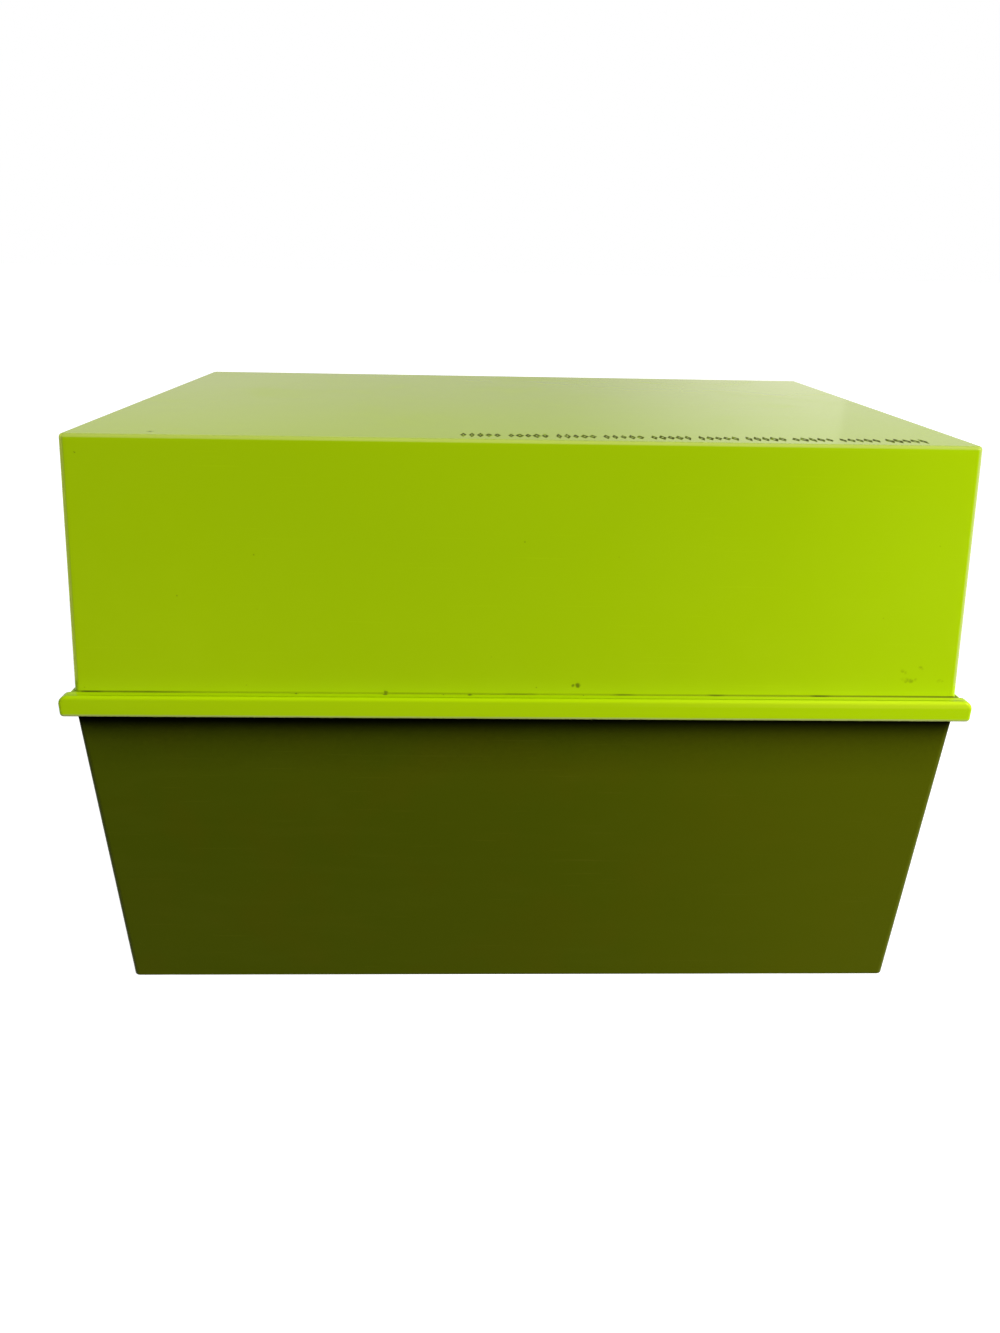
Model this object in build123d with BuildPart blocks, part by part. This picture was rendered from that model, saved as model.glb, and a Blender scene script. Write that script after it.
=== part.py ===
from build123d import *
import os
from math import atan, cos, degrees, radians, sin

# A moulded plastic recipe box for 3 by 5 inch cards, in millimetres.
# The origin is the middle of the base's underside, +Z is up and the front looks along -Y.
# The lid's skirt goes down round the base's rim and carries a lip along the front.
# The lid turns on two steel pins behind the back wall.

# The cards that the box is made for, and the index guides that stand among them
card_width = 127.0
card_height = 76.2
tab_height = 9.0
guide_thickness = 0.4
guide_spacing = 0.25
guide_count = 6
tab_positions = 3
tab_side_slope = 2.0
guide_corner_radius = 3.0
tab_corner_radius = 2.0

# Room round the cards
card_side_gap = 2.5
guide_back_gap = 2.2
guide_top_gap = 0.8
guide_seat = 0.1
head_room = 5.9

# Moulded walls
box_depth = 94.0
wall = 2.0
floor_thickness = 2.2
foot_recess = 0.6
foot_ring_width = 4.0
gate_mark_radius = 2.5
gate_mark_height = 0.3
corner_radius = 1.0
inner_corner_radius = 1.2
lid_edge_radius = 0.6
foot_edge_radius = 0.4
floor_fillet = 0.8
rim_chamfer = 0.3

# Heights of the base and of the lid's skirt
base_height = 53.0
skirt_height = 3.5

# How the skirt and its front lip stand out, and how the base's rim goes into the skirt
lid_spread = 2.2
base_spread = 2.35
skirt_overhang = 0.7
skirt_wall = 1.25
skirt_gap = 0.3
skirt_corner_radius = 0.6
skirt_edge_radius = 0.5
skirt_foot_radius = 0.2
lip_reach = 1.4
lip_side_reach = 1.2
lip_depth = 2.0
lip_top_radius = 1.4
lip_foot_radius = 0.6
lip_edge_radius = 0.5
rim_entry = 2.0
rim_clearance = 0.25
lid_seat_gap = 0.05

# Hinges
pin_radius = 1.0
pin_chamfer = 0.2
pin_end_depth = 0.3
pin_clearance = 0.06
knuckle_radius = 2.5
knuckle_clearance = 0.4
knuckle_width = 9.4
knuckle_side_gap = 0.3
knuckle_root = 1.0
ear_width = 5.0
hinge_inset = 24.9
open_angle = 105.0
heel_length = 3.0
heel_gap = 0.15

# Sizes that follow from these
base_floor = foot_recess + floor_thickness
guide_height = card_height + tab_height
box_width = card_width + 2 * (card_side_gap + wall)
box_height = base_floor + guide_seat + guide_height + head_room + wall
skirt_top = base_height + skirt_height
lid_height = box_height - skirt_top
lid_width = box_width + 2 * lid_spread
lid_depth = box_depth + 2 * lid_spread
lid_draft = degrees(atan(lid_spread / lid_height))
skirt_width = lid_width + 2 * skirt_overhang
skirt_depth = lid_depth + 2 * skirt_overhang
rabbet_width = skirt_width - 2 * skirt_wall
rabbet_depth = skirt_depth - 2 * skirt_wall
lip_width = skirt_width + 2 * lip_side_reach
rim_top = base_height + rim_entry
rim_width = rabbet_width - 2 * rim_clearance
rim_depth = rabbet_depth - 2 * rim_clearance
shoulder_z = base_height - skirt_gap
base_slope = base_spread / shoulder_z
base_draft = degrees(atan(base_slope))
wall_at_floor = wall - base_slope * base_floor


def upright_edges(block):
    """The drafted edges at a block's corners, which are the ones that don't lie level."""
    return block.edges() - block.edges().filter_by(Plane.XY)


# Where the hinges' axis lies, and the side view of the ears that carry the pins
hinge_y = skirt_depth / 2 + knuckle_radius + knuckle_clearance
hinge_z = base_height
hinge_offset = hinge_y - skirt_depth / 2
hinge_spacing = skirt_width - 2 * hinge_inset
hinge_width = knuckle_width + 2 * (knuckle_side_gap + ear_width)
ear_root_y = box_depth / 2 + base_spread - wall / 2
gusset_reach = knuckle_radius * cos(radians(45))

# The heel's face looks square at the skirt's back face when the lid stands fully open
heel_face = hinge_offset - heel_gap
heel_out = Vector(0, -cos(radians(open_angle)), sin(radians(open_angle)))
heel_along = Vector(0, sin(radians(open_angle)), cos(radians(open_angle)))
hinge_point = Vector(0, hinge_y, hinge_z)
heel_root = hinge_point + heel_out * heel_face
heel_tip = heel_root + heel_along * heel_length
gusset_tip = hinge_point + Vector(0, gusset_reach, -gusset_reach)
gusset_root = Vector(0, ear_root_y, gusset_tip.Z - (gusset_tip.Y - ear_root_y))


def side_points(*points):
    """Places on a YZ sketch for points of the side view."""
    return [(point.Y, point.Z) for point in points]


# The space inside the base's walls
with BuildPart() as card_space:
    with BuildSketch(Plane.XY.offset(base_floor)):
        Rectangle(box_width - 2 * wall_at_floor, box_depth - 2 * wall_at_floor)
    extrude(amount=rim_top - base_floor, taper=-base_draft)
    fillet(upright_edges(card_space), radius=inner_corner_radius)
    fillet(card_space.faces().sort_by(Axis.Z)[0].edges(), radius=floor_fillet)

# Base: walls that lean out to a shoulder, a rim above it, a foot ring, and ears for each pin
with BuildPart() as base:
    with BuildSketch(Plane.XY):
        Rectangle(box_width, box_depth)
    extrude(amount=shoulder_z, taper=-base_draft)
    fillet(upright_edges(base), radius=corner_radius)
    fillet(base.faces().sort_by(Axis.Z)[0].edges(), radius=foot_edge_radius)
    with BuildSketch(Plane.XY.offset(shoulder_z)):
        RectangleRounded(rim_width, rim_depth, corner_radius)
    extrude(amount=rim_top - shoulder_z)
    chamfer(base.faces().sort_by(Axis.Z)[-1].edges(), length=rim_chamfer)
    add(card_space.part, mode=Mode.SUBTRACT)
    with BuildSketch(Plane.XY):
        RectangleRounded(
            box_width - 2 * foot_ring_width, box_depth - 2 * foot_ring_width, corner_radius
        )
    extrude(amount=foot_recess, mode=Mode.SUBTRACT)
    with BuildSketch(Plane.XY.offset(foot_recess)):
        Circle(gate_mark_radius)
    extrude(amount=-gate_mark_height)
    for side in (-1, 1):
        for ear in (-1, 1):
            ear_x = side * hinge_spacing / 2 + ear * (hinge_width - ear_width) / 2
            with BuildSketch(Plane.YZ.offset(ear_x)):
                with Locations((hinge_y, hinge_z)):
                    Circle(knuckle_radius)
                with BuildLine():
                    Polyline(
                        (ear_root_y, shoulder_z),
                        (hinge_y, shoulder_z),
                        *side_points(gusset_tip, gusset_root),
                        close=True,
                    )
                make_face()
                with BuildLine():
                    Polyline(
                        *side_points(hinge_point, heel_root, heel_tip, gusset_tip), close=True
                    )
                make_face()
                with Locations((hinge_y, hinge_z)):
                    Circle(pin_radius, mode=Mode.SUBTRACT)
            extrude(amount=ear_width / 2, both=True)
base.part.label = "base"

# The space inside the lid's walls, down to the ledge that rests on the base's rim
ledge_z = rim_top + lid_seat_gap
lid_slope = lid_spread / lid_height
lid_ceiling = box_height - wall
hollow_width = lid_width + 2 * lid_slope * (skirt_top - ledge_z) - 2 * wall
hollow_depth = lid_depth + 2 * lid_slope * (skirt_top - ledge_z) - 2 * wall

with BuildPart() as lid_space:
    with BuildSketch(Plane.XY.offset(ledge_z)):
        Rectangle(hollow_width, hollow_depth)
    extrude(amount=lid_ceiling - ledge_z, taper=lid_draft)
    fillet(upright_edges(lid_space), radius=inner_corner_radius)
    fillet(lid_space.faces().sort_by(Axis.Z)[-1].edges(), radius=floor_fillet)

# The skirt round the foot of the lid's walls
with BuildPart() as skirt:
    with BuildSketch(Plane.XY.offset(base_height)):
        RectangleRounded(skirt_width, skirt_depth, skirt_corner_radius)
    extrude(amount=skirt_height)
    fillet(skirt.faces().sort_by(Axis.Z)[-1].edges(), radius=skirt_edge_radius)
    fillet(skirt.faces().sort_by(Axis.Z)[0].edges(), radius=skirt_foot_radius)

# The lip that stands out along the skirt's front, drawn as it looks from the front
with BuildPart() as lip:
    with BuildSketch(Plane.XZ.offset(skirt_depth / 2 + lip_reach - lip_depth)) as lip_face:
        with Locations((0, base_height)):
            Rectangle(lip_width, skirt_height, align=(Align.CENTER, Align.MIN))
        fillet(lip_face.vertices().group_by(Axis.Y)[-1], radius=lip_top_radius)
        fillet(lip_face.vertices().group_by(Axis.Y)[0], radius=lip_foot_radius)
    extrude(amount=lip_depth)
    fillet(lip.faces().sort_by(Axis.Y)[0].edges(), radius=lip_edge_radius)

# Lid: drafted walls on the skirt, with a rabbet for the rim and one knuckle at each hinge
with BuildPart() as lid:
    with BuildSketch(Plane.XY.offset(skirt_top)):
        Rectangle(lid_width, lid_depth)
    extrude(amount=lid_height, taper=lid_draft)
    fillet(upright_edges(lid), radius=corner_radius)
    fillet(lid.faces().sort_by(Axis.Z)[-1].edges(), radius=lid_edge_radius)
    add(skirt.part)
    add(lip.part)
    add(lid_space.part, mode=Mode.SUBTRACT)
    with BuildSketch(Plane.XY.offset(base_height)):
        RectangleRounded(rabbet_width, rabbet_depth, corner_radius)
    extrude(amount=ledge_z - base_height, mode=Mode.SUBTRACT)
    for side in (-1, 1):
        with BuildSketch(Plane.YZ.offset(side * hinge_spacing / 2)):
            with Locations((hinge_y, hinge_z)):
                Circle(knuckle_radius)
            with Locations((skirt_depth / 2 - knuckle_root, hinge_z)):
                Rectangle(
                    hinge_offset + knuckle_root, knuckle_radius, align=(Align.MIN, Align.MIN)
                )
            with Locations((hinge_y, hinge_z)):
                Circle(pin_radius + pin_clearance, mode=Mode.SUBTRACT)
        extrude(amount=knuckle_width / 2, both=True)
lid.part.label = "lid"

pieces = [base, lid]

# Hinge pins: steel wire, pressed into the ears and running free in the lid's knuckles
pin_length = hinge_width - 2 * pin_end_depth
for side, name in ((-1, "hinge_pin_left"), (1, "hinge_pin_right")):
    with BuildPart() as pin:
        with BuildSketch(Plane.YZ.offset(side * hinge_spacing / 2)):
            with Locations((hinge_y, hinge_z)):
                Circle(pin_radius)
        extrude(amount=pin_length / 2, both=True)
        chamfer(pin.faces().filter_by(Axis.X).edges(), length=pin_chamfer)
    pin.part.label = name
    pieces.append(pin)

# Index guides: card sheets with one raised tab each, leaning back together behind the cards
guide_lean = atan((guide_back_gap - guide_top_gap) / guide_height)
guide_pitch = guide_thickness + guide_spacing
guide_back_y = box_depth / 2 - wall - guide_back_gap
tab_width = card_width / tab_positions

for number in range(1, guide_count + 1):
    sheet_y = guide_back_y - guide_pitch * (guide_count - number)
    sheet_plane = Plane(
        origin=(0, sheet_y, base_floor + guide_seat),
        x_dir=(1, 0, 0),
        z_dir=(0, -cos(guide_lean), sin(guide_lean)),
    )
    tab_x = ((number - 1) % tab_positions - (tab_positions - 1) / 2) * tab_width
    with BuildPart() as guide:
        with BuildSketch(sheet_plane) as sheet:
            with BuildLine():
                Polyline(
                    (-card_width / 2, 0),
                    (card_width / 2, 0),
                    (card_width / 2, card_height),
                    (-card_width / 2, card_height),
                    close=True,
                )
            make_face()
            with BuildLine():
                Polyline(
                    (tab_x - tab_width / 2, card_height - guide_corner_radius),
                    (tab_x + tab_width / 2, card_height - guide_corner_radius),
                    (tab_x + tab_width / 2, card_height),
                    (tab_x + tab_width / 2 - tab_side_slope, guide_height),
                    (tab_x - tab_width / 2 + tab_side_slope, guide_height),
                    (tab_x - tab_width / 2, card_height),
                    close=True,
                )
            make_face()
            fillet(sheet.vertices().group_by(Axis.Y)[0], radius=guide_corner_radius)
            fillet(sheet.vertices().group_by(Axis.Y)[-1], radius=tab_corner_radius)
        extrude(amount=guide_thickness)
    guide.part.label = f"index_guide_{number}"
    pieces.append(guide)

os.makedirs("parts", exist_ok=True)
for piece in pieces:
    export_step(piece.part, f"parts/{piece.part.label}.step")
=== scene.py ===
import bpy
import math
import random
from mathutils import Matrix, Vector

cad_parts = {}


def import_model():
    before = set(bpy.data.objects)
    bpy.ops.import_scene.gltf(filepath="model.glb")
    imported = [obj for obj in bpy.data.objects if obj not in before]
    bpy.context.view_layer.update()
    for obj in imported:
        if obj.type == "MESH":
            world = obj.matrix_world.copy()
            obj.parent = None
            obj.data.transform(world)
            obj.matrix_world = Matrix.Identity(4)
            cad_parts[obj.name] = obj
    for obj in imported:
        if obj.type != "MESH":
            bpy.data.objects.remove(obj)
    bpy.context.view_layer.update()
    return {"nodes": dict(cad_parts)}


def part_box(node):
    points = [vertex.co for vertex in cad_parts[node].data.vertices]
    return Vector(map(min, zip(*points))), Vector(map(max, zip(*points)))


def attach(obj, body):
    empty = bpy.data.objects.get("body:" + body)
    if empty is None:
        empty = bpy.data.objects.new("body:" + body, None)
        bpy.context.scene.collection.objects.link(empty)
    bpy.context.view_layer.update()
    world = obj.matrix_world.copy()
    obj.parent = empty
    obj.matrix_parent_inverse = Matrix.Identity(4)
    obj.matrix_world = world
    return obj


# A recipe box of moulded plastic: the looks of its pieces, the studio and the camera.
# Metres, +Z up, the front looks along -Y. Lengths written in millimetres are times MM.
# A pair of lengths or levels named ..._SPAN is where a soft step starts and where it ends.

MM = 0.001
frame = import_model()
scene = bpy.context.scene

# Places worked out from the frame
lid_low, lid_high = (Vector(corner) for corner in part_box("lid"))
base_low, base_high = (Vector(corner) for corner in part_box("base"))
LID_TOP = lid_high.z
LIP_HALF_WIDTH = lid_high.x
LIP_FRONT = -lid_low.y
FOOT_Z = base_low.z

# Sizes that the frame doesn't give, as they are on the moulding
SKIRT_TOP = 56.5 * MM
SKIRT_BOTTOM = 53.0 * MM
SHOULDER = 52.7 * MM
LIP_OVERHANG = 2.1 * MM
LIP_SIDE_OVERHANG = 1.9 * MM
LID_SPREAD = 2.2 * MM
LID_SLOPE = LID_SPREAD / (LID_TOP - SKIRT_TOP)
WALL_FOOT_HALF_WIDTH = LIP_HALF_WIDTH - LIP_SIDE_OVERHANG
WALL_FOOT_HALF_DEPTH = LIP_FRONT - LIP_OVERHANG
BASE_WALL = 1.0 * MM
BASE_INNER_HALF_WIDTH = base_high.x - BASE_WALL
BASE_INNER_HALF_DEPTH = -base_low.y - BASE_WALL

# Colours, linear
LIME = (0.328, 0.484, 0.0006, 1)
LIME_PALE = (0.40, 0.56, 0.008, 1)
# Darker lime, for random clouding and for painted shade
LIME_DEEP_TONE_AND_SHADE = (0.291, 0.440, 0.0005, 1)
# Painted light and shade: the top face's own lit lime, and its darker copy for the top's right
LIME_TOP_PAINTED_LIGHT = (0.358, 0.494, 0.0006, 1)
LIME_TOP_PAINTED_SHADE = (0.308, 0.432, 0.0006, 1)
# Painted highlight along the rounded edges, and its copies for edges that face left and right
LIME_EDGE_HIGHLIGHT = (0.385, 0.465, 0.080, 1)
LIME_EDGE_LEFT_HIGHLIGHT = (0.72, 0.87, 0.09, 1)
LIME_EDGE_RIGHT_HIGHLIGHT = (0.345, 0.400, 0.115, 1)
# Painted light: a brighter lime for the right end and the lip, and a painted highlight for the top of the
# lip's right end
LIME_PAINTED_LIGHT = (0.362, 0.548, 0.0008, 1)
LIME_PAINTED_HIGHLIGHT = (0.46, 0.62, 0.010, 1)
# A darker lime for a thin line along the lip's top
LIME_DARK_LINE = (0.235, 0.375, 0.0005, 1)
# Painted reflection: the pale line along the lip's lowest edge
LIME_LIP_FOOT_REFLECTION = (0.355, 0.405, 0.11, 1)
LIME_SHEEN = (0.95, 1.0, 0.25, 1)
# Grime, and painted shade in the crease
LIME_GRIME_AND_SHADE = (0.075, 0.100, 0.004, 1)
OLIVE = (0.0540, 0.0685, 0.0006, 1)
OLIVE_PALE = (0.085, 0.095, 0.006, 1)
# Painted light: the olive's brighter copy for the right end
OLIVE_PAINTED_LIGHT = (0.076, 0.089, 0.0006, 1)
OLIVE_DEEP = (0.047, 0.065, 0.0005, 1)
OLIVE_BROWN = (0.062, 0.0645, 0.0006, 1)
OLIVE_SHEEN = (1.0, 1.0, 0.35, 1)
# Painted shade: near black, under the lid's skirt
OLIVE_PAINTED_SHADE = (0.0010, 0.0012, 0.0003, 1)
INK = (0.048, 0.054, 0.001, 1)
STEEL = (0.56, 0.56, 0.55, 1)
STEEL_DARK = (0.28, 0.27, 0.26, 1)
MANILA = (0.76, 0.64, 0.42, 1)
MANILA_DARK = (0.62, 0.47, 0.26, 1)
CARD_FLECK = (0.30, 0.20, 0.10, 1)


# Node helpers

def new_material(name):
    """A material with a Principled shader, and its object-space coordinates."""
    material = bpy.data.materials.new(name)
    material.use_nodes = True
    tree = material.node_tree
    shader = tree.nodes["Principled BSDF"]
    place = tree.nodes.new("ShaderNodeTexCoord").outputs["Object"]
    return material, tree, shader, place


def put(tree, socket, value):
    """Join a socket to another one, or set its value."""
    if isinstance(value, bpy.types.NodeSocket):
        tree.links.new(value, socket)
    else:
        socket.default_value = value


def maths(tree, operation, first, second=0.0, third=0.0):
    """One Math node's result."""
    node = tree.nodes.new("ShaderNodeMath")
    node.operation = operation
    for socket, value in zip(node.inputs, (first, second, third)):
        put(tree, socket, value)
    return node.outputs[0]


def times(tree, first, *others):
    """The product of masks and numbers."""
    for other in others:
        first = maths(tree, "MULTIPLY", first, other)
    return first


def plus(tree, first, *others):
    """The sum of masks and numbers."""
    for other in others:
        first = maths(tree, "ADD", first, other)
    return first


def most(tree, first, *others):
    """The largest of several masks."""
    for other in others:
        first = maths(tree, "MAXIMUM", first, other)
    return first


def size_of(tree, value):
    """A value without its sign."""
    return maths(tree, "ABSOLUTE", value)


def ramp(tree, value, low, high, bottom=0.0, top=1.0):
    """Value from low to high becomes bottom to top, with smooth ends."""
    node = tree.nodes.new("ShaderNodeMapRange")
    node.interpolation_type = "SMOOTHSTEP"
    for name, number in (("From Min", low), ("From Max", high), ("To Min", bottom), ("To Max", top)):
        put(tree, node.inputs[name], number)
    put(tree, node.inputs["Value"], value)
    return node.outputs[0]


def blend_colours(tree, amount, first, second):
    """Two colours mixed by an amount from 0 to 1."""
    node = tree.nodes.new("ShaderNodeMix")
    node.data_type = "RGBA"
    put(tree, node.inputs[0], amount)
    put(tree, node.inputs[6], first)
    put(tree, node.inputs[7], second)
    return node.outputs[2]


def chosen(tree, flag, where_set, otherwise):
    """One value where a flag is 1 and another where it is 0."""
    node = tree.nodes.new("ShaderNodeMix")
    node.data_type = "FLOAT"
    put(tree, node.inputs[0], flag)
    put(tree, node.inputs[2], otherwise)
    put(tree, node.inputs[3], where_set)
    return node.outputs[0]


def split(tree, vector):
    """The three parts of a vector."""
    node = tree.nodes.new("ShaderNodeSeparateXYZ")
    put(tree, node.inputs[0], vector)
    return node.outputs


def vector_maths(tree, operation, first, second=None, third=None):
    """One Vector Math node."""
    node = tree.nodes.new("ShaderNodeVectorMath")
    node.operation = operation
    for socket, value in zip(node.inputs, (first, second, third)):
        if value is not None:
            put(tree, socket, value)
    return node


def stretched(tree, place, scale, turn=(0, 0, 0)):
    """Coordinates turned and scaled along each axis."""
    node = tree.nodes.new("ShaderNodeMapping")
    put(tree, node.inputs["Vector"], place)
    node.inputs["Scale"].default_value = scale
    node.inputs["Rotation"].default_value = turn
    return node.outputs[0]


def noise(tree, place, size, detail=2.0, rough=0.5, twist=0.0):
    """Noise whose blotches measure about size metres, from 0 to 1."""
    node = tree.nodes.new("ShaderNodeTexNoise")
    put(tree, node.inputs["Vector"], place)
    node.inputs["Scale"].default_value = 1 / size
    node.inputs["Detail"].default_value = detail
    node.inputs["Roughness"].default_value = rough
    node.inputs["Distortion"].default_value = twist
    return node.outputs["Fac"]


def hairlines(tree, place, length, gap, turn, share):
    """Fine scratches: noise drawn out along one direction, of which only the peaks count."""
    drawn = stretched(tree, place, (1 / length, 1 / gap, 1 / gap), turn)
    return ramp(tree, noise(tree, drawn, 1.0, 1.0), share, share + 0.05)


def specks(tree, place, size, share):
    """Scattered grains, each in its own cell, of which only a share is there."""
    node = tree.nodes.new("ShaderNodeTexVoronoi")
    put(tree, node.inputs["Vector"], place)
    node.inputs["Scale"].default_value = 1 / (size * 6)
    grain = ramp(tree, node.outputs["Distance"], 0.16, 0.06)
    return times(tree, grain, maths(tree, "LESS_THAN", split(tree, node.outputs["Color"])[0], share))


def spot(tree, place, centre, radius):
    """A soft round mark at one place."""
    return ramp(tree, vector_maths(tree, "DISTANCE", place, centre).outputs["Value"], radius, radius * 0.45)


def bump(tree, height, distance, strength=1.0, under=None):
    """A normal from a height, over an earlier normal."""
    node = tree.nodes.new("ShaderNodeBump")
    put(tree, node.inputs["Height"], height)
    node.inputs["Distance"].default_value = distance
    node.inputs["Strength"].default_value = strength
    if under is not None:
        put(tree, node.inputs["Normal"], under)
    return node.outputs[0]


# Masks and normals that follow the shape

EDGE_SAMPLES = 4
CREVICE_SAMPLES = 24
CREVICE_POWER = 20.0
LOWEST_LOOK = -0.05


def soft_edges(tree, radius):
    """A normal that rounds off the edges a little."""
    bevel = tree.nodes.new("ShaderNodeBevel")
    bevel.samples = EDGE_SAMPLES
    put(tree, bevel.inputs["Radius"], radius)
    return bevel.outputs[0]


def edge_mask(tree, radius):
    """1 along sharp outer edges and 0 on flat faces."""
    flat = tree.nodes.new("ShaderNodeNewGeometry").outputs["Normal"]
    likeness = vector_maths(tree, "DOT_PRODUCT", soft_edges(tree, radius), flat).outputs["Value"]
    return ramp(tree, likeness, 0.995, 0.90)


def turned(tree, normal, start, end):
    """A normal carried from one space to another."""
    node = tree.nodes.new("ShaderNodeVectorTransform")
    node.vector_type = "NORMAL"
    node.convert_from = start
    node.convert_to = end
    put(tree, node.inputs[0], normal)
    return node.outputs[0]


def raised(tree, normal):
    """A normal that hardly looks down, as at an edge too sharp for its rounding to be seen."""
    across, along, up = split(tree, turned(tree, normal, "WORLD", "OBJECT"))
    node = tree.nodes.new("ShaderNodeCombineXYZ")
    for socket, value in zip(node.inputs, (across, along, most(tree, up, LOWEST_LOOK))):
        put(tree, socket, value)
    return vector_maths(tree, "NORMALIZE", turned(tree, node.outputs[0], "OBJECT", "WORLD")).outputs[0]


def facing(tree, place):
    """How far a face looks to the right and up, and a flag for the outside of the walls."""
    x, y, z = split(tree, place)
    sideways, along, up = split(tree, tree.nodes.new("ShaderNodeTexCoord").outputs["Normal"])
    outward = plus(tree, times(tree, x, sideways), times(tree, y, along))
    return sideways, up, maths(tree, "GREATER_THAN", outward, 0.0)


def rounded_edges(tree, sideways, up, outside):
    """1 on the rounded outer edges, upright and top, and 0 elsewhere."""
    lean = most(tree, size_of(tree, sideways), up)
    return times(tree, ramp(tree, lean, 0.10, 0.45), ramp(tree, lean, 0.995, 0.93), outside)


def hemmed_in(tree, reach):
    """How much of the view from a point is shut off within reach: 0 in the open, 1 in a crack."""
    node = tree.nodes.new("ShaderNodeAmbientOcclusion")
    node.samples = CREVICE_SAMPLES
    node.inputs["Distance"].default_value = reach
    return maths(tree, "SUBTRACT", 1.0, maths(tree, "POWER", node.outputs["AO"], CREVICE_POWER))


# The lid's lime plastic

# Painted light and shade: the lime is painted darker upwards and round the middle and brighter at the right
# end, and the top face has its own painted lit lime, painted darker on the top's right
PAINTED_SHADE_UP_SPAN = (60 * MM, 92 * MM)
PAINTED_SHADE_MIDDLE = -8 * MM
PAINTED_SHADE_MIDDLE_SPAN = (62 * MM, 5 * MM)
PAINTED_SHADE_SHARE = 0.6
LID_PAINTED_LIGHT_RIGHT_SPAN = (35 * MM, 72 * MM)
LID_PAINTED_LIGHT_SHARE = 0.5
TOP_PAINTED_SHADE_SPAN = (-60 * MM, 40 * MM)
TOP_FACE_SPAN = (LID_TOP - 0.6 * MM, LID_TOP - 0.1 * MM)

# Painted highlight: a pale line along the rounded edges of the walls and the top, bright on edges that face
# left and greyer on edges that face right
RIM_HIGHLIGHT_SHARE = 0.85
RIM_FOOT_SPAN = (SKIRT_TOP + 1 * MM, SKIRT_TOP + 3 * MM)
RIM_LEFT_SPAN = (-0.1, -0.5)
RIM_RIGHT_SPAN = (0.1, 0.5)

# Bands round the crease, by their distance from it: a pale band of painted reflection, a thin darker line
# on the lip's top, and the crease line
REFLECTION_BAND_SPAN = (3.2 * MM, 0.4 * MM)
REFLECTION_BAND_SHARE = 0.12
DARK_LINE_NEAR_SPAN = (1.10 * MM, 1.30 * MM)
DARK_LINE_FAR_SPAN = (1.65 * MM, 1.45 * MM)
DARK_LINE_SHARE = 0.8
CREASE_SPAN = (0.30 * MM, 0.14 * MM)

# Painted light: the lip is painted in a brighter lime than the walls, with a painted highlight at the top
# of its right end and a painted reflection as a pale line at its foot
LIP_SPAN = (SKIRT_TOP + 0.3 * MM, SKIRT_TOP)
LIP_PAINTED_LIGHT_SHARE = 0.85
LIP_HIGHLIGHT_RIGHT_SPAN = (0, 70 * MM)
LIP_HIGHLIGHT_CROWN_SPAN = (SKIRT_TOP - 0.9 * MM, SKIRT_TOP - 1.3 * MM)
LIP_FOOT_REFLECTION_SPAN = (SKIRT_BOTTOM + 0.60 * MM, SKIRT_BOTTOM + 0.38 * MM)
LIP_UNDERSIDE_SPAN = (-0.98, -0.85)

# Marks and scuffs on the lid's front, as (across, height, radius) in millimetres, and a mark on its top
FRONT_MARKS = (
    (9.2, 58.4, 0.62), (8.5, 58.3, 0.38), (63.8, 81.2, 0.28), (63.1, 92.5, 0.22),
    (-65.5, 93.7, 0.30), (-35.2, 56.8, 0.30), (-21.2, 56.9, 0.55), (-12.0, 56.8, 0.25),
    (-7.9, 56.6, 0.50), (10.2, 56.7, 0.25),
)
FRONT_SCUFFS = (
    (61.0, 61.2, 0.5), (61.5, 60.9, 0.4), (61.1, 59.8, 0.5), (61.8, 59.6, 0.6), (62.6, 59.5, 0.6),
    (63.3, 59.7, 0.4), (63.8, 61.8, 0.5), (64.2, 61.4, 0.4), (67.1, 59.5, 0.5), (67.6, 59.4, 0.4),
)
TOP_MARK = (-55.3 * MM, -43.5 * MM, LID_TOP)
TOP_MARK_RADIUS = 0.6 * MM
MARK_SHARE = 0.8
MARK_WARP = 0.5 * MM
MARK_WARP_SIZE = 0.7 * MM

# How dark the grime and painted shade are along the front crease, as (across in millimetres, strength)
CREASE_GRIME_AND_SHADE = (
    (-70.8, 0.75), (-69.6, 0.30), (-68.6, 0.90), (-66.3, 0.85), (-65.4, 0.65), (-61.5, 0.70),
    (-58.0, 0.75), (-54.5, 0.60), (-50.0, 0.40), (-24.0, 0.35), (-20.0, 0.45), (-3.0, 0.45),
    (-1.8, 0.60), (1.6, 0.55), (2.6, 0.38), (14.4, 0.42), (15.6, 0.75), (17.2, 0.70),
    (18.5, 0.45), (29.6, 0.50), (30.6, 0.85), (31.8, 0.80), (32.8, 0.55), (46.2, 0.60),
    (47.2, 0.95), (48.8, 0.90), (49.8, 0.65), (70.6, 0.85),
)

LID_ROUGHNESS = 0.08
LID_SPECULAR = 0.055
WALL_EDGE_RADIUS = 0.2 * MM
LIP_EDGE_RADIUS = 0.45 * MM


def lid_front(across, height):
    """The point of the lid's front wall at this place in millimetres, in metres."""
    return (across * MM, -(WALL_FOOT_HALF_DEPTH - LID_SLOPE * (height * MM - SKIRT_TOP)), height * MM)


def crease_distance(tree, place):
    """How far a point lies from the line where the lid's walls meet the skirt."""
    x, y, z = split(tree, place)
    rise = maths(tree, "SUBTRACT", z, SKIRT_TOP)
    beside = maths(tree, "SUBTRACT", size_of(tree, x), WALL_FOOT_HALF_WIDTH)
    before = maths(tree, "SUBTRACT", size_of(tree, y), WALL_FOOT_HALF_DEPTH)
    off = most(tree, beside, before)
    return maths(tree, "SQRT", plus(tree, times(tree, off, off), times(tree, rise, rise)))


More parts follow.
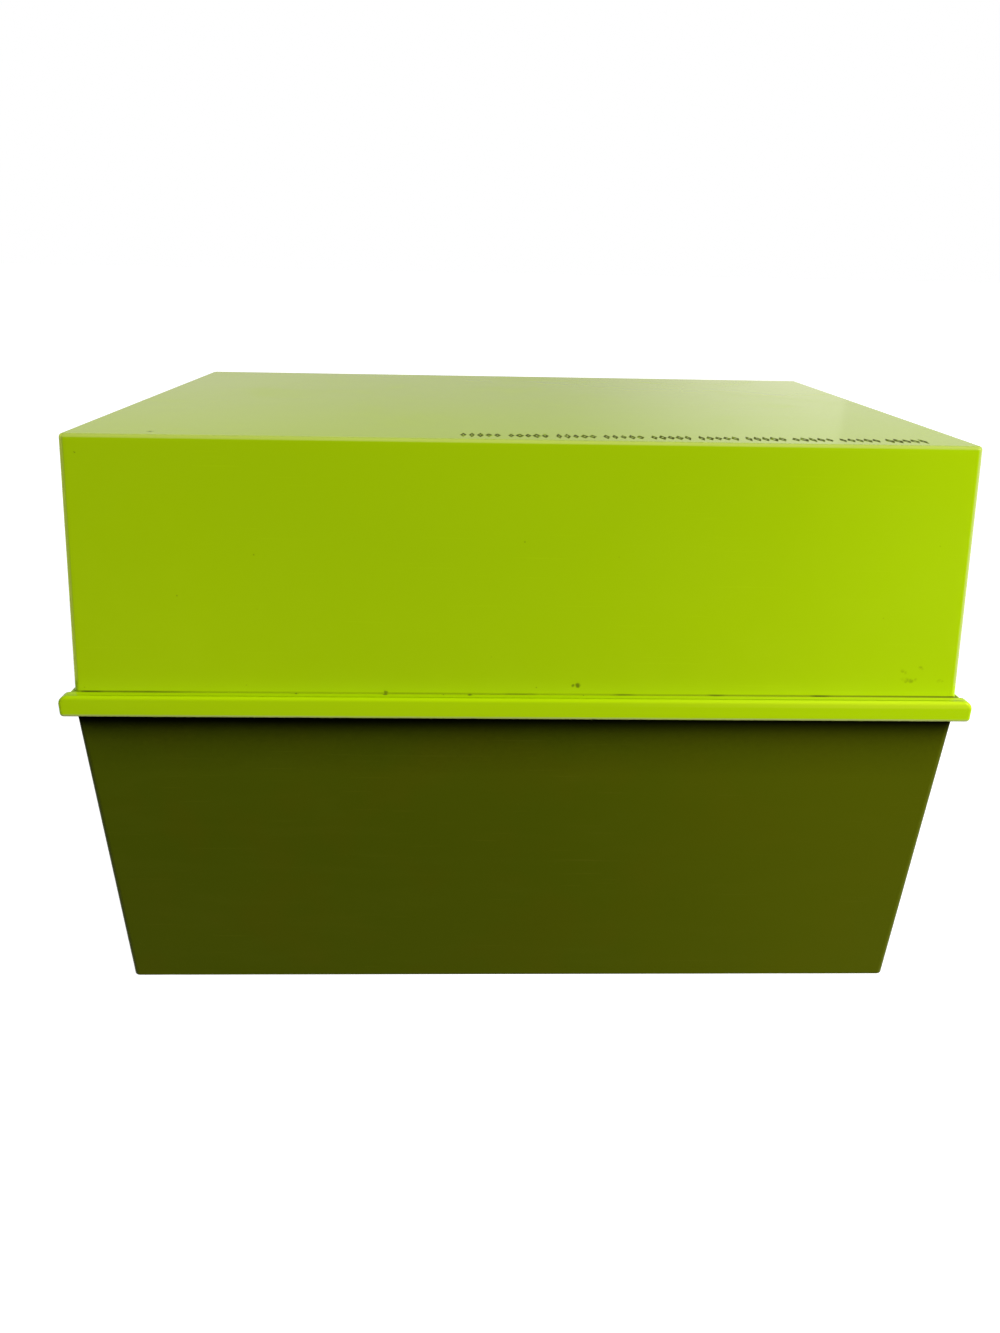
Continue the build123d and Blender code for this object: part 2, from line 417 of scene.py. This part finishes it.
def crease_strength(tree, place):
    """Grime and painted shade in the crease: how dark, as listed along the front and in dashes on the other
    sides.
    """
    x, y, z = split(tree, place)
    listed = tree.nodes.new("ShaderNodeValToRGB")
    stops = listed.color_ramp.elements
    while len(stops) > 1:
        stops.remove(stops[-1])
    for number, (across, strength) in enumerate(CREASE_GRIME_AND_SHADE):
        position = 0.5 + across * MM / LIP_HALF_WIDTH / 2
        stop = stops[0] if number == 0 else stops.new(position)
        stop.position = position
        stop.color = (strength, strength, strength, 1)
    put(tree, listed.inputs[0], maths(tree, "MULTIPLY_ADD", x, 0.5 / LIP_HALF_WIDTH, 0.5))
    dashes = ramp(tree, noise(tree, place, 7 * MM, 3, 0.6), 0.42, 0.62, 0.05, 0.65)
    front = maths(tree, "LESS_THAN", y, LIP_OVERHANG - WALL_FOOT_HALF_DEPTH)
    return chosen(tree, front, listed.outputs[0], dashes)


def lid_lime_and_painted_light(tree, place):
    """The lid's lime, clouded and mottled, before any wear, with painted shade darker upwards and round the
    middle, painted light at the right end, and the top face in its own painted lit lime, painted darker on
    its right.
    """
    x, y, z = split(tree, place)
    cloud = noise(tree, place, 45 * MM, 3, 0.55)
    mottle = noise(tree, place, 7 * MM, 2, 0.5)
    colour = blend_colours(tree, ramp(tree, cloud, 0.35, 0.65, 0.0, 0.16), LIME, LIME_DEEP_TONE_AND_SHADE)
    colour = blend_colours(tree, ramp(tree, mottle, 0.4, 0.7, 0.0, 0.08), colour, LIME_PALE)
    # Painted shade: darker upwards and round the middle
    from_middle = size_of(tree, plus(tree, x, -PAINTED_SHADE_MIDDLE))
    lid_painted_shade = plus(tree, ramp(tree, z, *PAINTED_SHADE_UP_SPAN, 0.0, PAINTED_SHADE_SHARE),
                  ramp(tree, from_middle, *PAINTED_SHADE_MIDDLE_SPAN, 0.0, PAINTED_SHADE_SHARE))
    colour = blend_colours(tree, maths(tree, "MINIMUM", lid_painted_shade, 1.0), colour, LIME_DEEP_TONE_AND_SHADE)
    # Painted light: brighter at the right end
    lid_painted_light = ramp(tree, x, *LID_PAINTED_LIGHT_RIGHT_SPAN, 0.0, LID_PAINTED_LIGHT_SHARE)
    colour = blend_colours(tree, lid_painted_light, colour, LIME_PAINTED_LIGHT)
    # Painted light and shade: the top face in its own lit lime, darker on its right
    top = blend_colours(tree, ramp(tree, x, *TOP_PAINTED_SHADE_SPAN), LIME_TOP_PAINTED_LIGHT, LIME_TOP_PAINTED_SHADE)
    return blend_colours(tree, ramp(tree, z, *TOP_FACE_SPAN), colour, top)


def with_rim_highlight(tree, place, sideways, up, outside, colour):
    """The colour with a painted highlight along the rounded edges above the skirt, brightest on edges that
    face left.
    """
    x, y, z = split(tree, place)
    # Painted highlight: a pale line on the rounded outer edges, coloured by which way they face
    rims = times(tree, rounded_edges(tree, sideways, up, outside), ramp(tree, z, *RIM_FOOT_SPAN), RIM_HIGHLIGHT_SHARE)
    edge = blend_colours(tree, ramp(tree, sideways, *RIM_RIGHT_SPAN), LIME_EDGE_HIGHLIGHT, LIME_EDGE_RIGHT_HIGHLIGHT)
    edge = blend_colours(tree, ramp(tree, sideways, *RIM_LEFT_SPAN), edge, LIME_EDGE_LEFT_HIGHLIGHT)
    return blend_colours(tree, rims, colour, edge)


def on_lip(tree, place, gap, up, outside, colour):
    """The colour with a pale band of painted reflection round the crease, a thin darker line on the lip's
    top, the lip in a painted brighter lime with a painted highlight, and a painted reflection at its foot.
    """
    x, y, z = split(tree, place)
    # Painted reflection: a pale band on both sides of the crease
    colour = blend_colours(tree, ramp(tree, gap, *REFLECTION_BAND_SPAN, 0.0, REFLECTION_BAND_SHARE), colour, LIME_PALE)
    # Painted light on the lip, with a painted highlight at the top of its right end
    lip_lit_lime = blend_colours(tree, ramp(tree, x, *LIP_HIGHLIGHT_RIGHT_SPAN), LIME_PAINTED_LIGHT, LIME_PAINTED_HIGHLIGHT)
    lip_lit_lime = blend_colours(tree, ramp(tree, z, *LIP_HIGHLIGHT_CROWN_SPAN), lip_lit_lime, LIME_PAINTED_LIGHT)
    colour = blend_colours(tree, ramp(tree, z, *LIP_SPAN, 0.0, LIP_PAINTED_LIGHT_SHARE), colour, lip_lit_lime)
    # A thin darker line along the lip's top, about 1.1 to 1.65 mm from the crease
    dark_line = times(tree, ramp(tree, gap, *DARK_LINE_NEAR_SPAN), ramp(tree, gap, *DARK_LINE_FAR_SPAN),
                 ramp(tree, z, *LIP_SPAN, 0.0, DARK_LINE_SHARE))
    colour = blend_colours(tree, dark_line, colour, LIME_DARK_LINE)
    # Painted reflection: a pale line along the front of the lip's lowest edge, not on its underside
    foot = times(tree, ramp(tree, z, *LIP_FOOT_REFLECTION_SPAN),
                 ramp(tree, noise(tree, place, 6 * MM, 3), 0.3, 0.6, 0.6, 1.0),
                 maths(tree, "LESS_THAN", y, WALL_FOOT_HALF_DEPTH + 1 * MM),
                 outside, ramp(tree, up, *LIP_UNDERSIDE_SPAN))
    return blend_colours(tree, foot, colour, LIME_LIP_FOOT_REFLECTION)


def lid_dirt_and_crease_shade(tree, place, gap):
    """Grime and painted shade in the crease, grains, and the marks and scuffs of use."""
    drift = tree.nodes.new("ShaderNodeTexNoise")
    put(tree, drift.inputs["Vector"], place)
    drift.inputs["Scale"].default_value = 1 / MARK_WARP_SIZE
    warped = vector_maths(tree, "MULTIPLY_ADD", drift.outputs["Color"], (MARK_WARP,) * 3, place).outputs[0]
    marks = [spot(tree, warped, lid_front(across, height), radius * MM)
             for across, height, radius in FRONT_MARKS]
    marks.append(spot(tree, warped, TOP_MARK, TOP_MARK_RADIUS))
    scuffs = [spot(tree, warped, lid_front(across, height), radius * MM)
              for across, height, radius in FRONT_SCUFFS]
    rubbing = ramp(tree, noise(tree, place, 0.9 * MM, 2), 0.3, 0.65, 0.10, 0.42)
    # Grime and painted shade in the crease
    crease = times(tree, ramp(tree, gap, *CREASE_SPAN), crease_strength(tree, place))
    grains = times(tree, specks(tree, place, 0.20 * MM, 0.012), 0.4)
    return most(tree, crease, grains, times(tree, most(tree, *marks), MARK_SHARE),
                times(tree, most(tree, *scuffs), rubbing))


def lid_plastic():
    """Glossy lime polystyrene, a little scratched. Grime and painted shade where the walls meet the skirt,
    and painted light and shade on its faces and edges.
    """
    material, tree, shader, place = new_material("lid_plastic")
    x, y, z = split(tree, place)
    sideways, up, outside = facing(tree, place)
    gap = crease_distance(tree, place)

    worn = times(tree, edge_mask(tree, 0.9 * MM),
                 ramp(tree, noise(tree, place, 5 * MM, 3), 0.3, 0.7, 0.35, 1))
    scratches = most(
        tree,
        hairlines(tree, place, 16 * MM, 0.35 * MM, (0.2, 0.4, 0.5), 0.71),
        hairlines(tree, place, 22 * MM, 0.30 * MM, (1.1, -0.3, -0.9), 0.72),
    )
    dirt_and_crease_shade = lid_dirt_and_crease_shade(tree, place, gap)
    # The lid's lime with its painted light and shade, then the painted highlight on its rounded edges
    colour = with_rim_highlight(tree, place, sideways, up, outside, lid_lime_and_painted_light(tree, place))
    colour = blend_colours(tree, times(tree, worn, 0.20), colour, LIME_PALE)
    colour = blend_colours(tree, times(tree, scratches, 0.12), colour, LIME_PALE)
    colour = on_lip(tree, place, gap, up, outside, colour)
    put(tree, shader.inputs["Base Color"], blend_colours(tree, dirt_and_crease_shade, colour, LIME_GRIME_AND_SHADE))

    smears = noise(tree, stretched(tree, place, (1, 1, 1.7)), 18 * MM, 4, 0.6, 0.6)
    gloss = plus(tree, ramp(tree, smears, 0.4, 0.75, 0.0, 0.09), LID_ROUGHNESS,
                 times(tree, scratches, 0.10), times(tree, worn, 0.10), times(tree, dirt_and_crease_shade, 0.4))
    put(tree, shader.inputs["Roughness"], gloss)

    radius = ramp(tree, ramp(tree, z, *LIP_SPAN), 0, 1, WALL_EDGE_RADIUS, LIP_EDGE_RADIUS)
    sag = bump(tree, noise(tree, place, 38 * MM, 1), 0.10 * MM, 0.5, raised(tree, soft_edges(tree, radius)))
    peel = bump(tree, noise(tree, place, 1.6 * MM, 2), 0.003 * MM, 0.5, sag)
    put(tree, shader.inputs["Normal"], bump(tree, scratches, 0.003 * MM, 0.5, peel))
    shader.inputs["Specular IOR Level"].default_value = LID_SPECULAR
    shader.inputs["Specular Tint"].default_value = LIME_SHEEN
    return material


# The base's olive plastic

# Painted light: the olive is painted brighter towards the right end
BASE_PAINTED_LIGHT_RIGHT_SPAN = (-20 * MM, 70 * MM)
BASE_PAINTED_LIGHT_SHARE = 0.7
RUBBED_FOOT_SPAN = (5 * MM, 0.5 * MM)
# Painted shade on the walls under the lid's skirt: its reach, the height where it begins and its weakening
# to the right
UNDER_LIP_SHADE_REACH = 11 * MM
UNDER_LIP_SHADE_FOOT_SPAN = (30 * MM, 40 * MM)
UNDER_LIP_SHADE_RIGHT_SPAN = (-40 * MM, 60 * MM)
UNDER_LIP_SHADE_RIGHT_SHARE = 0.88
SHOULDER_MARGIN = 0.05 * MM
WALL_MARGIN = 0.3 * MM
BASE_ROUGHNESS = 0.33
BASE_SPECULAR = 0.03


def shade_painted_under_lip(tree, place):
    """Painted shade on the outside of the walls where the lid's skirt hangs over them, darkest where the
    view is most shut in, a little weaker to the right.
    """
    x, y, z = split(tree, place)
    beside = maths(tree, "SUBTRACT", size_of(tree, x), BASE_INNER_HALF_WIDTH)
    before = maths(tree, "SUBTRACT", size_of(tree, y), BASE_INNER_HALF_DEPTH)
    return times(
        tree,
        ramp(tree, most(tree, beside, before), 0, 0.5 * MM),
        ramp(tree, z, *UNDER_LIP_SHADE_FOOT_SPAN),
        maths(tree, "LESS_THAN", y, BASE_WALL + BASE_INNER_HALF_DEPTH + WALL_MARGIN),
        maths(tree, "LESS_THAN", z, SHOULDER - SHOULDER_MARGIN),
        hemmed_in(tree, UNDER_LIP_SHADE_REACH),
        ramp(tree, x, *UNDER_LIP_SHADE_RIGHT_SPAN, 1.0, UNDER_LIP_SHADE_RIGHT_SHARE),
    )


def base_plastic():
    """Olive plastic with a satin face, faint flow lines and pale scuffs at the foot, painted brighter
    towards the right, and with painted shade under the lid's skirt.
    """
    material, tree, shader, place = new_material("base_plastic")
    x, y, z = split(tree, place)

    cloud = noise(tree, place, 40 * MM, 3, 0.55)
    colour = blend_colours(tree, ramp(tree, cloud, 0.35, 0.65, 0.0, 0.45), OLIVE, OLIVE_DEEP)
    flow = noise(tree, stretched(tree, place, (1, 1, 5)), 22 * MM, 3, 0.6, 0.8)
    colour = blend_colours(tree, ramp(tree, flow, 0.45, 0.75, 0.0, 0.10), colour, OLIVE_PALE)
    blotch = noise(tree, place, 13 * MM, 2, 0.5)
    colour = blend_colours(tree, ramp(tree, blotch, 0.45, 0.70, 0.0, 0.4), colour, OLIVE_BROWN)
    # Painted light: brighter towards the right end
    colour = blend_colours(tree, ramp(tree, x, *BASE_PAINTED_LIGHT_RIGHT_SPAN, 0.0, BASE_PAINTED_LIGHT_SHARE), colour, OLIVE_PAINTED_LIGHT)

    foot = ramp(tree, maths(tree, "SUBTRACT", z, FOOT_Z), *RUBBED_FOOT_SPAN)
    rubbed = times(tree, edge_mask(tree, 0.6 * MM), ramp(tree, noise(tree, place, 3 * MM, 4), 0.45, 0.65),
                   ramp(tree, foot, 0, 1, 0.25, 0.8))
    colour = blend_colours(tree, rubbed, colour, OLIVE_PALE)
    scratches = most(
        tree,
        hairlines(tree, place, 14 * MM, 0.35 * MM, (0.3, 0.2, -0.35), 0.72),
        hairlines(tree, place, 18 * MM, 0.30 * MM, (-0.2, 0.9, 1.2), 0.73),
    )
    colour = blend_colours(tree, times(tree, scratches, 0.35), colour, OLIVE_PALE)
    dust = times(tree, specks(tree, place, 0.2 * MM, 0.04), 0.35)
    colour = blend_colours(tree, dust, colour, OLIVE_PALE)
    # Painted shade under the lid's skirt, darkest where the wall is most shut in
    under_lip_shade = shade_painted_under_lip(tree, place)
    put(tree, shader.inputs["Base Color"], blend_colours(tree, under_lip_shade, colour, OLIVE_PAINTED_SHADE))

    smear = ramp(tree, noise(tree, place, 20 * MM, 4, 0.6, 0.5), 0.4, 0.75, 0.0, 0.10)
    gloss = plus(tree, smear, BASE_ROUGHNESS, times(tree, scratches, 0.12), times(tree, rubbed, 0.2))
    put(tree, shader.inputs["Roughness"], gloss)

    sag = bump(tree, noise(tree, place, 34 * MM, 1), 0.15 * MM, 0.5, soft_edges(tree, 0.3 * MM))
    grain = bump(tree, noise(tree, place, 0.5 * MM, 2), 0.008 * MM, 0.6, sag)
    put(tree, shader.inputs["Normal"], bump(tree, scratches, 0.006 * MM, 0.6, grain))
    # The painted shade under the skirt also takes the gloss away there
    put(tree, shader.inputs["Specular IOR Level"], ramp(tree, under_lip_shade, 0, 1, BASE_SPECULAR, 0.0))
    shader.inputs["Specular Tint"].default_value = OLIVE_SHEEN
    return material


# Steel, card and ink

def pin_steel():
    """Drawn steel wire, with lines along it and a little tarnish."""
    material, tree, shader, place = new_material("pin_steel")
    drawn = noise(tree, stretched(tree, place, (0.05, 1, 1)), 0.12 * MM, 3)
    tarnish = ramp(tree, noise(tree, place, 1.5 * MM, 4, 0.6), 0.45, 0.7)
    colour = blend_colours(tree, ramp(tree, drawn, 0.3, 0.7, 0.0, 0.4), STEEL, STEEL_DARK)
    colour = blend_colours(tree, times(tree, tarnish, 0.6), colour, STEEL_DARK)
    put(tree, shader.inputs["Base Color"], colour)
    put(tree, shader.inputs["Roughness"], ramp(tree, tarnish, 0, 1, 0.28, 0.5))
    put(tree, shader.inputs["Normal"], bump(tree, drawn, 0.01 * MM, 0.5))
    shader.inputs["Metallic"].default_value = 1.0
    return material


TAB_SPAN = (74 * MM, 90 * MM)


def guide_card():
    """Manila pressboard: fibres, flecks and tabs browned by handling."""
    material, tree, shader, place = new_material("guide_card")
    x, y, z = split(tree, place)
    cloud = noise(tree, place, 30 * MM, 4, 0.6)
    fibres = noise(tree, stretched(tree, place, (0.35, 1, 1)), 0.5 * MM, 4, 0.7)
    colour = blend_colours(tree, ramp(tree, cloud, 0.35, 0.7, 0.0, 0.35), MANILA, MANILA_DARK)
    colour = blend_colours(tree, ramp(tree, fibres, 0.4, 0.75, 0.0, 0.30), colour, MANILA_DARK)
    flecks = times(tree, specks(tree, place, 0.18 * MM, 0.12), 0.45)
    colour = blend_colours(tree, flecks, colour, CARD_FLECK)
    grubby = times(tree, ramp(tree, z, *TAB_SPAN),
                   ramp(tree, noise(tree, place, 12 * MM, 4), 0.4, 0.7, 0.0, 0.35))
    put(tree, shader.inputs["Base Color"], blend_colours(tree, grubby, colour, MANILA_DARK))
    put(tree, shader.inputs["Roughness"], ramp(tree, fibres, 0.3, 0.7, 0.75, 0.92))
    put(tree, shader.inputs["Normal"], bump(tree, fibres, 0.03 * MM, 0.5))
    shader.inputs["Specular IOR Level"].default_value = 0.25
    return material


def ink():
    """Dark olive hot-stamped ink, rubbed thin here and there."""
    material, tree, shader, place = new_material("stamped_ink")
    thin = ramp(tree, noise(tree, place, 0.8 * MM, 3, 0.6), 0.48, 0.68)
    put(tree, shader.inputs["Base Color"], blend_colours(tree, times(tree, thin, 0.7), INK, LIME_DEEP_TONE_AND_SHADE))
    put(tree, shader.inputs["Roughness"], ramp(tree, thin, 0, 1, 0.75, 0.6))
    shader.inputs["Specular IOR Level"].default_value = 0.02
    return material


def repaint(material, *nodes):
    """Give CAD nodes a material in place of their plain one."""
    for node in nodes:
        for slot in frame["nodes"][node].material_slots:
            slot.material = material


repaint(lid_plastic(), "lid")
repaint(base_plastic(), "base")
repaint(pin_steel(), "hinge_pin_left", "hinge_pin_right")
repaint(guide_card(), *[name for name in frame["nodes"] if name.startswith("index_guide")])


# The row of stamped ornament on the lid's top, near its front edge

ORNAMENT_LEFT = -9.4 * MM
ORNAMENT_RIGHT = 60.8 * MM
ORNAMENT_LINE = -42.6 * MM
LOZENGE_STEP = 1.28 * MM
LOZENGES_IN_GROUP = 5
GROUP_GAP = 0.8 * MM
LOZENGE_HALF_WIDTH = 0.60 * MM
LOZENGE_HALF_DEPTH = 2.2 * MM
HOLLOW_SHARE = 0.35
INK_ABOVE = 0.02 * MM
INK_LEVELS = (LID_TOP + INK_ABOVE, LID_TOP - INK_ABOVE)
ORNAMENT_SEED = 7


def ornament():
    """A plain border of small hollow lozenges in groups of five: closed slips, half sunk in the lid."""
    draw = random.Random(ORNAMENT_SEED)
    vertices = []
    faces = []

    def corners(centre, width, depth, level):
        start = len(vertices)
        points = ((-width, 0), (0, -depth), (width, 0), (0, depth))
        vertices.extend((centre + x, ORNAMENT_LINE + y, level) for x, y in points)
        return [start + number for number in range(4)]

    centre = ORNAMENT_LEFT
    number = 0
    while centre < ORNAMENT_RIGHT:
        depth = LOZENGE_HALF_DEPTH * draw.uniform(0.7, 1.0)
        width = LOZENGE_HALF_WIDTH * draw.uniform(0.7, 1.1)
        hollow = (width * HOLLOW_SHARE, depth * HOLLOW_SHARE)
        outer, outer_foot = (corners(centre, width, depth, level) for level in INK_LEVELS)
        inner, inner_foot = (corners(centre, *hollow, level) for level in INK_LEVELS)
        for here, there in ((0, 1), (1, 2), (2, 3), (3, 0)):
            faces.append((outer[here], outer[there], inner[there], inner[here]))
            faces.append((outer_foot[there], outer_foot[here], inner_foot[here], inner_foot[there]))
            faces.append((outer_foot[here], outer_foot[there], outer[there], outer[here]))
            faces.append((inner_foot[there], inner_foot[here], inner[here], inner[there]))
        number += 1
        centre += LOZENGE_STEP + (GROUP_GAP if number % LOZENGES_IN_GROUP == 0 else 0)
    mesh = bpy.data.meshes.new("stamped_border")
    mesh.from_pydata(vertices, [], faces)
    border = bpy.data.objects.new("stamped_border", mesh)
    scene.collection.objects.link(border)
    mesh.materials.append(ink())
    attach(border, "lid_body")


ornament()


# The studio: a pale floor, one soft key lamp and a weak dome, with white wherever it is seen

FLOOR_HALF = 30.0
FLOOR_COLOUR_SEEN = (0.42, 0.42, 0.42, 1)
FLOOR_COLOUR_BOUNCE = (0.06, 0.06, 0.06, 1)
FLOOR_ROUGHNESS = 0.9
FLOOR_GLOW_NEAR = 0.90
FLOOR_GLOW_FAR = 1.0
FLOOR_GLOW_SPAN = (0.2, 0.8)

# The dome's light, by the direction that it comes from: overhead, low behind the box and from its left
DOME_OVERHEAD = 0.15
DOME_OVERHEAD_SPAN = (0.70, 0.95)
DOME_BEHIND = 2.0
DOME_BEHIND_SPAN = (-0.1, 0.5)
DOME_BEHIND_HEIGHT_SPAN = (0.60, 0.30)
DOME_LEFT = 2.4
DOME_LEFT_SPAN = (-0.6, -0.9)
DOME_LEFT_HEIGHT_SPAN = (-0.1, 0.1)

# What mirrors see behind the box: dimmest left of the middle, brighter up to a window's edge on the right
WALL_LEFT = 0.77
WALL_DIM = 0.67
WALL_BRIGHT = 1.15
WALL_PAST_EDGE = 1.00
WALL_DIM_SPAN = (-0.35, -0.05)
WALL_BRIGHT_START = 0.05
WINDOW_EDGE = 0.365
WINDOW_EDGE_SOFTNESS = 0.006
WALL_NEAREST_DIRECTION = 0.05
WALL_END_SPAN = (0.0, 0.2)
WALL_TINT = (1.0, 0.965, 0.87, 1)

KEY_LAMP_PLACE = (0.70, -0.50, 0.45)
KEY_LAMP_SIDE = 0.28
KEY_LAMP_POWER = 15.2
BOX_MIDDLE = (0, 0, 50 * MM)


def ray_kinds(tree):
    """Flags for what the camera, mirrors and glass see."""
    path = tree.nodes.new("ShaderNodeLightPath")
    return [path.outputs[name] for name in ("Is Camera Ray", "Is Glossy Ray", "Is Transmission Ray")]


def floor():
    """A wide pale floor that keeps the box's shadow, fades to white and throws little light back."""
    mesh = bpy.data.meshes.new("studio_floor")
    corners = [(x * FLOOR_HALF, y * FLOOR_HALF, FOOT_Z) for x, y in ((-1, -1), (1, -1), (1, 1), (-1, 1))]
    mesh.from_pydata(corners, [], [(0, 1, 2, 3)])
    plane = bpy.data.objects.new("studio_floor", mesh)
    scene.collection.objects.link(plane)
    material, tree, shader, place = new_material("studio_floor")
    seen = most(tree, *ray_kinds(tree))
    colour = blend_colours(tree, seen, FLOOR_COLOUR_BOUNCE, FLOOR_COLOUR_SEEN)
    put(tree, shader.inputs["Base Color"], colour)
    shader.inputs["Roughness"].default_value = FLOOR_ROUGHNESS
    shader.inputs["Specular IOR Level"].default_value = 0.0
    away = vector_maths(tree, "LENGTH", place).outputs["Value"]
    white = ramp(tree, away, *FLOOR_GLOW_SPAN, FLOOR_GLOW_NEAR, FLOOR_GLOW_FAR)
    glow = tree.nodes.new("ShaderNodeEmission")
    put(tree, glow.inputs["Strength"], times(tree, seen, white))
    both = tree.nodes.new("ShaderNodeAddShader")
    put(tree, both.inputs[0], shader.outputs[0])
    put(tree, both.inputs[1], glow.outputs[0])
    put(tree, tree.nodes["Material Output"].inputs["Surface"], both.outputs[0])
    mesh.materials.append(material)


def world():
    """A weak dome that is brighter behind and left of the box, and white where it is seen."""
    dome = bpy.data.worlds.new("studio_world")
    dome.use_nodes = True
    scene.world = dome
    tree = dome.node_tree
    x, y, z = split(tree, tree.nodes.new("ShaderNodeTexCoord").outputs["Generated"])
    light = plus(
        tree,
        ramp(tree, z, *DOME_OVERHEAD_SPAN, 0.0, DOME_OVERHEAD),
        times(tree, ramp(tree, y, *DOME_BEHIND_SPAN),
              ramp(tree, z, *DOME_BEHIND_HEIGHT_SPAN, 0.0, DOME_BEHIND)),
        times(tree, ramp(tree, x, *DOME_LEFT_SPAN),
              ramp(tree, z, *DOME_LEFT_HEIGHT_SPAN, 0.0, DOME_LEFT)),
    )

    sideways = maths(tree, "DIVIDE", x, most(tree, y, WALL_NEAREST_DIRECTION))
    wall = plus(tree, ramp(tree, sideways, WALL_BRIGHT_START, WINDOW_EDGE, 0.0, WALL_BRIGHT - WALL_DIM),
                ramp(tree, sideways, *WALL_DIM_SPAN, WALL_LEFT, WALL_DIM))
    past = ramp(tree, sideways, WINDOW_EDGE, WINDOW_EDGE + WINDOW_EDGE_SOFTNESS)
    wall = chosen(tree, past, WALL_PAST_EDGE, wall)
    mirrored = chosen(tree, ramp(tree, y, *WALL_END_SPAN), wall, 1.0)

    by_camera, by_mirror, by_glass = ray_kinds(tree)
    strength = chosen(tree, by_mirror, mirrored, light)
    strength = chosen(tree, most(tree, by_camera, by_glass), 1.0, strength)
    background = tree.nodes["Background"]
    put(tree, background.inputs["Color"], blend_colours(tree, by_mirror, (1, 1, 1, 1), WALL_TINT))
    put(tree, background.inputs["Strength"], strength)


def lamp(name, place, target, side, power):
    """A soft square lamp that looks at a point."""
    light = bpy.data.lights.new(name, "AREA")
    light.shape = "SQUARE"
    light.size = side
    light.energy = power
    holder = bpy.data.objects.new(name, light)
    scene.collection.objects.link(holder)
    aim = Vector(target) - Vector(place)
    holder.matrix_world = Matrix.Translation(place) @ aim.to_track_quat("-Z", "Y").to_matrix().to_4x4()


floor()
world()
lamp("key_lamp", KEY_LAMP_PLACE, BOX_MIDDLE, KEY_LAMP_SIDE, KEY_LAMP_POWER)


# The camera stands where the photograph was taken from

CAMERA_PLACE = Vector((-8.218, -194.227, 119.099)) * MM
CAMERA_PITCH = math.radians(21.733)
CAMERA_ROLL = math.radians(1.127)
CAMERA_YAW = math.radians(-1.889)
FOCAL_PIXELS = 995.5
PICTURE_HEIGHT = 1333
SENSOR_HEIGHT_MM = 36


def camera():
    """Look down by the pitch, turned by the yaw, with the picture rolled."""
    ahead = Vector((
        -math.sin(CAMERA_YAW) * math.cos(CAMERA_PITCH),
        math.cos(CAMERA_YAW) * math.cos(CAMERA_PITCH),
        -math.sin(CAMERA_PITCH),
    ))
    level = Vector((math.cos(CAMERA_YAW), math.sin(CAMERA_YAW), 0))
    above = level.cross(ahead)
    right = level * math.cos(CAMERA_ROLL) + above * math.sin(CAMERA_ROLL)
    up = above * math.cos(CAMERA_ROLL) - level * math.sin(CAMERA_ROLL)
    lens = bpy.data.cameras.new("photo_camera")
    lens.sensor_width = SENSOR_HEIGHT_MM
    lens.lens = FOCAL_PIXELS / PICTURE_HEIGHT * SENSOR_HEIGHT_MM
    lens.clip_start = 0.01
    holder = bpy.data.objects.new("photo_camera", lens)
    scene.collection.objects.link(holder)
    stance = Matrix((right, up, -ahead)).transposed().to_4x4()
    holder.matrix_world = Matrix.Translation(CAMERA_PLACE) @ stance
    scene.camera = holder


camera()
scene.view_settings.view_transform = "Standard"
